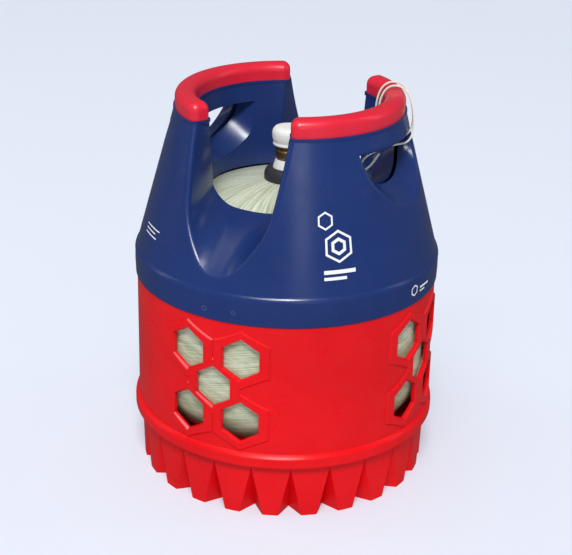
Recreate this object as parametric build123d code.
from build123d import *
import math
import os

# Composite gas cylinder in a two-colour plastic casing.
# Millimetres, +Z up, origin on the cylinder axis in the plane the foot stands on.
# The two handle wings are on +X and -X, the two open slots face -Y and +Y.

# ---- driving dimensions ----
WALL = 3.0                # wall of every moulded casing part
FOOT_H = 54.0             # height of the flutes
FOOT_TOP = 57.5
FOOT_R0 = 147.5           # tooth face at the floor
FOOT_R1 = 149.2           # tooth face at the top of the foot
VALLEY_R0 = 129.0         # bottom of a flute at the floor
FLUTES = 24
FLUTE_HALF_DEG = 4.5      # half of a flute's mouth at the floor
BEAD_R = 156.0
BEAD_Z0 = 57.5
BEAD_Z1 = 69.5
BODY_R = 152.0
BODY_TOP = 206.0          # where the shroud's skirt starts
SPIGOT_R = 150.2          # rebated wall inside the skirt
SPIGOT_TOP = 226.0
HEX_Z = 136.0             # centre of a group of windows
HEX_DZ = 33.0
HEX_DEG = 10.85
HEX_SIDE = 21.0
PAD_SIDE = 31.0           # raised pad round each window
PAD_R = 153.6
PAD_TAPER = 38.0          # slope of the pads' edges
PAD_SPREAD = 7.2          # how much larger a pad is 8 mm below the wall's face
MOUTH_R = 151.2           # where the bevel of a window's mouth starts
SEAT_R = 104.0            # inner edge of the ring the vessel stands on

SKIRT_R = 153.7
CONE_Z = 237.0
CONE_R = 151.0
CONE_SLOPE = 0.27
WING_TOP = 377.0
WELL_R0 = 81.0            # well wall at its lower lip
WELL_R1 = 92.0            # well wall at the top of the wings
LIP_Z = 291.8
SLOT_DEG = 26.0
HAND_TOP = 356.5          # upper edge of the hand holes
HAND_OUT_Z = 299.0        # lower edge of a hand hole in the outer wall
FLANGE_OUT_R = 107.2
FLANGE_IN_R = 103.8

RIM_Z = 374.8             # underside of the rim plate on each wing
GRIP_TOP = 394.0
GRIP_DEG = 63.0

VESSEL_R = 146.5
VESSEL_Z0 = 110.0         # lower tangent of the vessel's cylinder
VESSEL_Z1 = 215.0
DOME_LOW = 82.0
DOME_HIGH = 88.0
FIBRE_T = 5.5
LINER_T = 2.6

NECK_R = 13.8
NECK_RING_R = 24.5
CAP_R = 17.3
CAP_Z0 = 337.0
CAP_Z1 = 355.5

os.makedirs("parts", exist_ok=True)


def save(shape, name):
    export_step(shape, "parts/" + name + ".step")
    box = shape.bounding_box()
    low = [round(v, 2) for v in tuple(box.min)]
    high = [round(v, 2) for v in tuple(box.max)]
    print(name, round(shape.volume), low, high, len(shape.solids()))


def lathe(points, angle=360.0):
    """Solid of revolution about Z from (radius, height) corners."""
    line = Polyline(*[(r, 0, z) for r, z in points], close=True)
    return revolve(make_face(line), Axis.Z, angle)


def cone_r(z):
    return CONE_R - CONE_SLOPE * (z - CONE_Z)


def well_r(z):
    return WELL_R0 + (WELL_R1 - WELL_R0) * (z - LIP_Z) / (WING_TOP - LIP_Z)


def radial_prism(polygon_radius, angle_deg, z, r0, r1, taper=0.0):
    """Pointed-top hexagon driven straight out from the axis, narrowing by the taper angle."""
    a = math.radians(angle_deg)
    out = Vector(math.sin(a), -math.cos(a), 0)
    side = Vector(math.cos(a), math.sin(a), 0)
    plane = Plane(origin=out * r0 + Vector(0, 0, z), x_dir=side, z_dir=out)
    corners = []
    for k in range(6):
        t = math.radians(90 + 60 * k)
        corners.append((polygon_radius * math.cos(t), polygon_radius * math.sin(t)))
    face = plane * make_face(Polyline(*corners, close=True))
    return extrude(face, r1 - r0, taper=taper)


def window_places():
    places = []
    for group in range(4):
        mid = 90.0 * group
        places.append((mid, HEX_Z))
        for da in (-HEX_DEG, HEX_DEG):
            for dz in (-HEX_DZ, HEX_DZ):
                places.append((mid + da, HEX_Z + dz))
    return places


# ---- lower casing ----
def flute(depth_extra):
    """Slanted V groove of the foot; depth_extra moves both of its faces outward of the groove."""
    a = math.radians(FLUTE_HALF_DEG)
    corner = Vector(FOOT_R0 * math.cos(a), FOOT_R0 * math.sin(a), 0)
    root = Vector(VALLEY_R0, 0, 0)
    half = math.atan2(corner.Y, corner.X - root.X)
    start = VALLEY_R0 - depth_extra / math.sin(half)
    reach = 45.0
    tri = Polyline(
        (start, 0, 0),
        (start + reach, reach * math.tan(half), 0),
        (start + reach, -reach * math.tan(half), 0),
        close=True,
    )
    slope = Vector(FOOT_R1 - VALLEY_R0, 0, FOOT_H)
    low = make_face(tri).moved(Location(slope * (-6.0 / FOOT_H)))
    return extrude(low, amount=slope.length * 1.2, dir=slope)


def flutes(depth_extra):
    cutter = flute(depth_extra)
    return [cutter.rotate(Axis.Z, -90 + k * 360.0 / FLUTES) for k in range(FLUTES)]


foot_outside = lathe([(0, 0), (FOOT_R0, 0), (FOOT_R1, FOOT_TOP), (0, FOOT_TOP)])
for groove in flutes(0.0):
    foot_outside -= groove
foot_inside = lathe([(0, -1), (FOOT_R0 - WALL, -1), (FOOT_R1 - WALL, FOOT_H - 0.5), (0, FOOT_H - 0.5)])
for groove in flutes(WALL):
    foot_inside -= groove
foot = foot_outside - foot_inside
foot -= lathe([(0, -1), (SEAT_R, -1), (SEAT_R, 90), (0, 90)])

wall_profile = [
    (BODY_R - WALL, 72), (BODY_R - WALL, 200), (SPIGOT_R - WALL, 203), (SPIGOT_R - WALL, SPIGOT_TOP),
    (SPIGOT_R, SPIGOT_TOP), (SPIGOT_R, BODY_TOP), (BODY_R, BODY_TOP), (BODY_R, 71.5),
    (BODY_R + 1.4, 70.4), (BEAD_R - 1.6, BEAD_Z1), (BEAD_R - 0.3, BEAD_Z1 - 1.6), (BEAD_R, BEAD_Z1 - 3.2),
    (BEAD_R, BEAD_Z0 + 1.0), (BEAD_R - 1.0, BEAD_Z0), (FOOT_R1 - WALL, BEAD_Z0),
    (FOOT_R1 - WALL, BEAD_Z0 + WALL), (BODY_R - WALL, 64),
]
casing = lathe(wall_profile)
casing += foot

pads = None
for angle, z in window_places():
    pad = radial_prism(PAD_SIDE + PAD_SPREAD, angle, z, BODY_R - 8, BODY_R + 6, PAD_TAPER)
    pads = pad if pads is None else pads + pad
ring = lathe([(BODY_R - 2.0, 70), (PAD_R, 70), (PAD_R, 203), (BODY_R - 2.0, 203)])
casing += ring & pads
for angle, z in window_places():
    casing -= radial_prism(HEX_SIDE, angle, z, BODY_R - 10, BODY_R + 8)
    casing -= radial_prism(HEX_SIDE, angle, z, MOUTH_R, BODY_R + 6, -36.0)

seat = lathe([(SEAT_R, 50), (FOOT_R1 - 2.0, 50), (FOOT_R1 - 2.0, BEAD_Z0), (120, BEAD_Z0), (SEAT_R, BEAD_Z0)])


def ellipsoid_body(a, z_low, b_low, z_high, b_high):
    """Lathe-turned vessel: cylinder with two half-ellipse domes."""
    with BuildSketch(Plane.XZ) as half:
        with BuildLine():
            low = EllipticalCenterArc((0, z_low), a, b_low, start_angle=270, arc_size=90)
            side = Line((a, z_low), (a, z_high))
            high = EllipticalCenterArc((0, z_high), a, b_high, start_angle=0, arc_size=90)
            Line(high @ 1, low @ 0)
        make_face()
    return revolve(half.sketch, Axis.Z)


vessel_out = ellipsoid_body(VESSEL_R, VESSEL_Z0, DOME_LOW, VESSEL_Z1, DOME_HIGH)
casing += seat
casing -= vessel_out
save(casing, "lower_casing")


# ---- upper shroud ----
# Sections of a slot: distance from the axis, floor height, rise of the rounded corner,
# half width where the corner ends, sideways lean of the wall above it, half of the flat floor.
SLOT_STATIONS = [
    (156.0, 239.0, 54.0, 49.8, 0.312, 6.2),
    (118.0, 272.3, 32.0, 42.3, 0.165, 7.0),
    (58.0, 300.0, 8.0, 50.8, -0.094, 34.0),
]
SLOT_TOP = 420.0


def slot_wire(distance, floor_z, rise, half_width, lean, flat, grow):
    """U-shaped section of a front slot, in the plane that far from the axis."""
    zc = floor_z - grow * 1.02
    z3 = floor_z + rise
    x3 = half_width + grow * 1.04
    xt = x3 + lean * (SLOT_TOP - z3)
    zp = z3 - 0.62 * rise
    xp = x3 - lean * 0.62 * rise
    x1 = flat + 0.38 * (half_width - flat) + grow * 0.5
    y = -distance
    p = [(-flat, y, zc), (flat, y, zc), (x3, y, z3), (xt, y, SLOT_TOP), (-xt, y, SLOT_TOP), (-x3, y, z3)]
    edges = [
        Line(p[0], p[1]),
        Bezier(p[1], (x1, y, zc), (xp, y, zp), p[2]),
        Line(p[2], p[3]),
        Line(p[3], p[4]),
        Line(p[4], p[5]),
        Bezier(p[5], (-xp, y, zp), (-x1, y, zc), p[0]),
    ]
    return Wire(edges)


def slot_cutter(grow):
    wires = [slot_wire(*station, grow) for station in SLOT_STATIONS]
    return Solid.make_loft(wires, False)


def hand_prism(points, x_plane, direction, grow, low_shift):
    """Slanted prism of a hand hole: its lower edge runs along the given direction."""
    side = [(y + grow, z - low_shift) for y, z in points]
    right = [(x_plane, y, z) for y, z in side]
    left = [(x_plane, -y, z) for y, z in reversed(side)]
    edges = [Spline(*(left[:-1] + [(x_plane, 0, points[0][1] - low_shift)] + right[1:]))]
    top_r = (x_plane, right[-1][1], 520)
    top_l = (x_plane, -right[-1][1], 520)
    edges += [Line(right[-1], top_r), Line(top_r, top_l), Line(top_l, left[0])]
    face = make_face(Wire(edges))
    return extrude(face, amount=Vector(*direction).length, dir=Vector(*direction))


OUT_LINE = [(0, 299.0), (20, 300.4), (34, 305.5), (49, 316.0), (56, 334.0), (58, 356.0)]
IN_LINE = [(0, 293.0), (22, 297.4), (38, 308.0), (47, 318.0), (53.5, 334.0), (57, 352.0)]


def outer_funnel(grow):
    prism = hand_prism(OUT_LINE, 134.0, (-60.0, 0, 40.0), grow, grow * 1.1)
    back = hand_prism(OUT_LINE, 134.0, (20.0, 0, -13.3), grow, grow * 1.1)
    return prism + back


def inner_funnel(grow):
    return hand_prism(IN_LINE, 64.0, (46.0, 0, 29.0), grow, grow * 1.1)


outer_line = [(cone_r(CONE_Z + k * 35.0), CONE_Z + k * 35.0) for k in (0, 4)]
with BuildSketch(Plane.XZ) as shroud_half:
    with BuildLine():
        Polyline(
            (SPIGOT_R + 0.25, BODY_TOP), (SKIRT_R - 1.0, BODY_TOP), (SKIRT_R - 0.2, BODY_TOP + 1.2),
            (SKIRT_R + 0.2, 218), (SKIRT_R, 228.5),
        )
        RadiusArc((SKIRT_R, 228.5), (CONE_R + 0.5, 235.6), -7.5)
        Polyline(
            (CONE_R + 0.5, 235.6), (CONE_R, CONE_Z), (cone_r(RIM_Z), RIM_Z), (well_r(RIM_Z), RIM_Z),
            (WELL_R0, LIP_Z), (WELL_R0, LIP_Z - 1.6),
        )
        ThreePointArc((WELL_R0, LIP_Z - 1.6), (116.6, 269.6), (145.0, 245.0))
        Polyline(
            (145.0, 245.0), (147.6, 237.0), (147.6, SPIGOT_TOP), (SPIGOT_R + 0.25, SPIGOT_TOP),
            (SPIGOT_R + 0.25, BODY_TOP),
        )
    make_face()
shroud = revolve(shroud_half.sketch, Axis.Z)

with BuildSketch(Plane.XZ) as cavity_half:
    with BuildLine():
        Polyline(
            (WELL_R0 + WALL, LIP_Z - 20.0), (148.2, 236.0), (cone_r(240.0) - WALL, 240.0),
            (cone_r(374.0) - WALL, 374.0), (well_r(374.0) + WALL, 374.0),
            (WELL_R0 + WALL, LIP_Z), (WELL_R0 + WALL, LIP_Z - 20.0),
        )
    make_face()
cavity = revolve(cavity_half.sketch, Axis.Z)

slot = slot_cutter(0.0)
wide_slot = slot_cutter(WALL)
slot_back = slot.rotate(Axis.Z, 180)
wide_back = wide_slot.rotate(Axis.Z, 180)
cavity = cavity - wide_slot - wide_back

outer_keep = lathe([(FLANGE_OUT_R, 200), (170, 200), (170, HAND_TOP + WALL), (FLANGE_OUT_R, HAND_TOP + WALL)])
inner_keep = lathe([(60, 200), (FLANGE_IN_R, 200), (FLANGE_IN_R, HAND_TOP + WALL), (60, HAND_TOP + WALL)])
outer_hole = lathe([(105.5, 200), (170, 200), (170, HAND_TOP), (105.5, HAND_TOP)])
inner_hole = lathe([(60, 200), (105.5, 200), (105.5, HAND_TOP), (60, HAND_TOP)])

out_thick = outer_funnel(WALL) & outer_keep
in_thick = inner_funnel(WALL) & inner_keep
out_cut = outer_funnel(0.0) & outer_hole
in_cut = inner_funnel(0.0) & inner_hole
for turn in (0, 180):
    cavity = cavity - out_thick.rotate(Axis.Z, turn) - in_thick.rotate(Axis.Z, turn)
shroud = shroud - slot - slot_back - cavity
for turn in (0, 180):
    shroud = shroud - out_cut.rotate(Axis.Z, turn) - in_cut.rotate(Axis.Z, turn)


def wing_ring(r0, r1, z0, z1, half_deg):
    """Ring sector about the +X wing."""
    face = make_face(Polyline((r0, 0, z0), (r1, 0, z0), (r1, 0, z1), (r0, 0, z1), close=True))
    return revolve(face, Axis.Z, 2 * half_deg).rotate(Axis.Z, -half_deg)



def on_wall(edge, wall_r):
    """True if the edge lies on the outer cone or on the well wall, clear of their ends."""
    points = [edge.position_at(t) for t in (0.1, 0.5, 0.9)]
    return edge.length > 4 and all(
        abs(math.hypot(p.X, p.Y) - wall_r(p.Z)) < 0.25 and 244 < p.Z < RIM_Z - 0.01 for p in points)


def by_slot(edge):
    mid = edge.position_at(0.5)
    return math.degrees(math.atan2(abs(mid.X), abs(mid.Y))) < 43.0


# Rounded mouths of the slots and, outside, of the hand holes.
shroud = fillet([e for e in shroud.edges() if on_wall(e, well_r) and by_slot(e)], 2.0)
shroud = fillet([e for e in shroud.edges() if on_wall(e, cone_r) and by_slot(e)], 5.0)
shroud = fillet([e for e in shroud.edges() if on_wall(e, cone_r) and not by_slot(e)], 3.9)

rim = wing_ring(WELL_R1 - 0.9, cone_r(WING_TOP) + 1.3, RIM_Z - 0.7, WING_TOP, GRIP_DEG + 0.4)
rim = fillet([e for e in rim.edges() if abs(e.center().Z - (RIM_Z - 0.7 + WING_TOP) / 2) < 0.5], 6.0)
for turn in (0, 180):
    shroud += rim.rotate(Axis.Z, turn)
    shroud += wing_ring(100.4, 104.4, WING_TOP - 1.0, GRIP_TOP - 3.2, GRIP_DEG - 7.0).rotate(Axis.Z, turn)
save(shroud, "upper_shroud")


# ---- grips ----
def grip_sector(r0, r1, z0, z1, half_deg):
    return wing_ring(r0, r1, z0, z1, half_deg)


grip = grip_sector(92.2, 112.9, WING_TOP, GRIP_TOP, GRIP_DEG)
upright = [e for e in grip.edges() if abs(e.center().Z - (WING_TOP + GRIP_TOP) / 2) < 1.0]
grip = fillet(upright, 7.5)
top_face = grip.faces().sort_by(Axis.Z)[-1]
grip = fillet(top_face.edges(), 8.5)
hollow = grip_sector(95.0, 110.1, WING_TOP - 1, GRIP_TOP - 3.0, GRIP_DEG - 3.0)
hollow = fillet(hollow.faces().sort_by(Axis.Z)[-1].edges(), 5.8)
grip = grip - hollow
save(grip, "right_grip")
save(grip.rotate(Axis.Z, 180), "left_grip")

# ---- vessel ----
STEM_R = 18.5
BORE_R = 13.0
liner_out = ellipsoid_body(VESSEL_R - FIBRE_T, VESSEL_Z0, DOME_LOW - FIBRE_T, VESSEL_Z1, DOME_HIGH - FIBRE_T)
inset = FIBRE_T + LINER_T
liner_in = ellipsoid_body(VESSEL_R - inset, VESSEL_Z0, DOME_LOW - inset, VESSEL_Z1, DOME_HIGH - inset)
stem_hole = Pos(0, 0, 290) * Cylinder(STEM_R, 60)
plug_hole = Pos(0, 0, 30) * Cylinder(9.0, 40)
save(vessel_out - liner_out - stem_hole - plug_hole, "fibre_shell")
save(liner_out - liner_in - stem_hole - plug_hole, "liner")

boss = Pos(0, 0, 289.0) * Cylinder(STEM_R, 44)
boss += (Pos(0, 0, 290) * Cylinder(42, 25)) & liner_in
boss -= Pos(0, 0, 290) * Cylinder(BORE_R, 64)
boss -= lathe([(BORE_R - 1, 307.8), (15.6, 307.8), (15.6, 312), (BORE_R - 1, 312)])
save(boss, "neck_boss")
save(Pos(0, 0, 308.8) * Torus(14.6, 1.0), "boss_o_ring")

plug = (Pos(0, 0, 40) * Cylinder(9.0, 26)) + ((Pos(0, 0, 44) * Cylinder(30, 16)) & liner_in)
save(plug, "bottom_plug")

ring_face = lathe([
    (STEM_R + 0.2, 296), (NECK_RING_R, 296), (NECK_RING_R, 305.5), (24.1, 308.3), (22.9, 310.9), (20.8, 313.0),
    (18.2, 314.0), (16.6, 313.8), (16.6, 311.2), (STEM_R + 0.2, 311.2),
])
save(ring_face - vessel_out, "neck_ring")

# ---- valve ----
NECK_TOP = 350.0
body = lathe([
    (0, 264), (12.4, 264), (BORE_R, 265), (BORE_R, 307.8), (13.6, 307.8), (13.6, 312.2), (10.8, 312.2),
    (10.8, 322.4), (12.4, 323.4), (NECK_R, 324.6), (NECK_R, 331.0), (NECK_R - 1.2, 332.2), (NECK_R - 1.2, 333.8),
    (NECK_R, 335.0), (NECK_R, NECK_TOP - 0.8), (NECK_R - 0.8, NECK_TOP), (0, NECK_TOP),
])
body -= lathe([(0, 263), (8.6, 263), (8.6, 306.0), (3.0, 308.0), (3.0, 335.0), (6.6, 335.0), (6.6, 351), (0, 351)])
save(body, "valve_body")
save(lathe([(11.0, 312.2), (15.7, 312.2), (16.0, 313.4), (15.7, 314.6), (13.3, 322.0), (11.0, 322.3)]), "valve_collar")
save(lathe([(3.4, 335.0), (6.6, 335.0), (6.6, 338.4), (3.4, 338.4)]), "outlet_gasket")
save(lathe([(0, 267.5), (2.45, 267.5), (2.45, 299), (6.4, 299), (6.4, 302.6), (2.4, 302.6), (2.4, 341.2),
            (1.6, 342.0), (0, 342.0)]), "spindle")
save(lathe([(2.4, 302.6), (6.2, 302.6), (6.2, 306.5), (3.4, 307.5), (2.4, 307.5)]), "spindle_seal")

SPRING_Z0 = 269.4
SPRING_Z1 = 298.9
SPRING_R = 5.2
WIRE = 1.1
coil_height = SPRING_Z1 - SPRING_Z0 - WIRE - 0.2
coil = Helix(coil_height / 6.0, coil_height, SPRING_R)
coil = Pos(0, 0, SPRING_Z0 + WIRE / 2 + 0.1) * coil
start_plane = Plane(origin=coil @ 0, z_dir=coil % 0)
spring = sweep(start_plane * Circle(WIRE / 2), path=coil, is_frenet=True)
save(spring, "valve_spring")
retainer = lathe([(2.5, 265.6), (8.6, 265.6), (8.6, 269.4), (3.6, 269.4), (3.6, 272.4), (2.5, 272.4)])
for k in range(4):
    a = math.radians(90 * k + 45)
    retainer -= Pos(6.2 * math.cos(a), 6.2 * math.sin(a), 268) * Cylinder(1.2, 12)
save(retainer, "spring_retainer")

# ---- safety cap ----
CAP_BORE = NECK_R + 0.8
cap = lathe([
    (0, NECK_TOP + 1.6), (CAP_BORE, NECK_TOP + 1.6), (CAP_BORE, CAP_Z0), (16.0, CAP_Z0), (16.3, CAP_Z0 + 0.6),
    (16.3, CAP_Z0 + 1.8), (15.9, CAP_Z0 + 2.6), (16.0, 340.6), (16.5, 342.0), (17.1, 344.4), (CAP_R, 347.2),
    (17.2, 349.8), (16.4, 352.2), (14.6, 354.2), (10.8, 355.2), (6.0, CAP_Z1), (0, CAP_Z1),
])
LUG_DEG = 118.0
EYE_R = 19.5
LUG_Z = 346.5
lug = Pos(EYE_R, 0, LUG_Z) * Cylinder(3.4, 2.2)
lug += Pos(17.0, 0, LUG_Z) * Box(3.6, 5.0, 2.2)
lug -= Pos(EYE_R, 0, LUG_Z) * Cylinder(1.3, 6)
lug -= Pos(0, 0, 344) * Cylinder(CAP_BORE + 0.8, 12)
cap += lug.rotate(Axis.Z, LUG_DEG - 90)
save(cap, "safety_cap")
save(Pos(0, 0, NECK_TOP + 0.8) * Cylinder(CAP_BORE - 0.1, 1.6), "cap_seal")

# The cord's end is a small loop through the cap's eye, closed by a knot.
KNOT_R = 2.2
knot = Pos(EYE_R + 2.5, 0, LUG_Z) * Rot(90, 0, 0) * Torus(2.6, 0.9)
knot += Pos(EYE_R + 6.1, 0, LUG_Z) * Sphere(KNOT_R)
save(knot.rotate(Axis.Z, LUG_DEG - 90), "tether_knot")


# ---- tether cord ----
CORD_D = 2.0
# Corners of the route as (angle from -Y towards +X in degrees, radius, height).
CORD_ROUTE = [
    (118.0, 28.1, 346.5), (119.0, 46.0, 336.5), (121.0, 68.0, 323.5), (125.0, 84.0, 347.0),
    (126.5, 88.0, 398.4), (122.5, 117.2, 398.8), (115.0, 124.5, 348.5), (114.0, 85.0, 345.5),
    (118.0, 88.0, 398.4), (115.0, 117.2, 398.8), (108.5, 124.5, 348.0), (103.0, 100.0, 345.0),
    (87.0, 100.5, 349.5), (72.0, 98.0, 347.5), (71.0, 94.5, 331.5), (85.0, 92.0, 330.5), (98.0, 92.0, 338.0),
]


def polar(angle, radius, z):
    a = math.radians(angle)
    return Vector(radius * math.sin(a), -radius * math.cos(a), z)


corners = [polar(*c) for c in CORD_ROUTE]
runs = [(q - p).length for p, q in zip(corners, corners[1:])]
radii = []
for k in range(1, len(corners) - 1):
    turn = math.radians((corners[k] - corners[k - 1]).get_angle(corners[k + 1] - corners[k]))
    radii.append(0.45 * min(runs[k - 1], runs[k]) / math.tan(turn / 2))
    print("cord corner", k, "runs", round(runs[k - 1], 1), round(runs[k], 1),
          "turn", round(math.degrees(turn), 1), "radius", round(radii[-1], 1))
cord_path = FilletPolyline(*corners, radius=radii)
cord = sweep(Plane(origin=cord_path @ 0, z_dir=cord_path % 0) * Circle(CORD_D / 2), path=cord_path)
print("cord length", round(cord_path.length, 1), "volume ratio",
      round(cord.volume / (cord_path.length * math.pi * CORD_D ** 2 / 4), 4))
save(cord, "tether_cord")
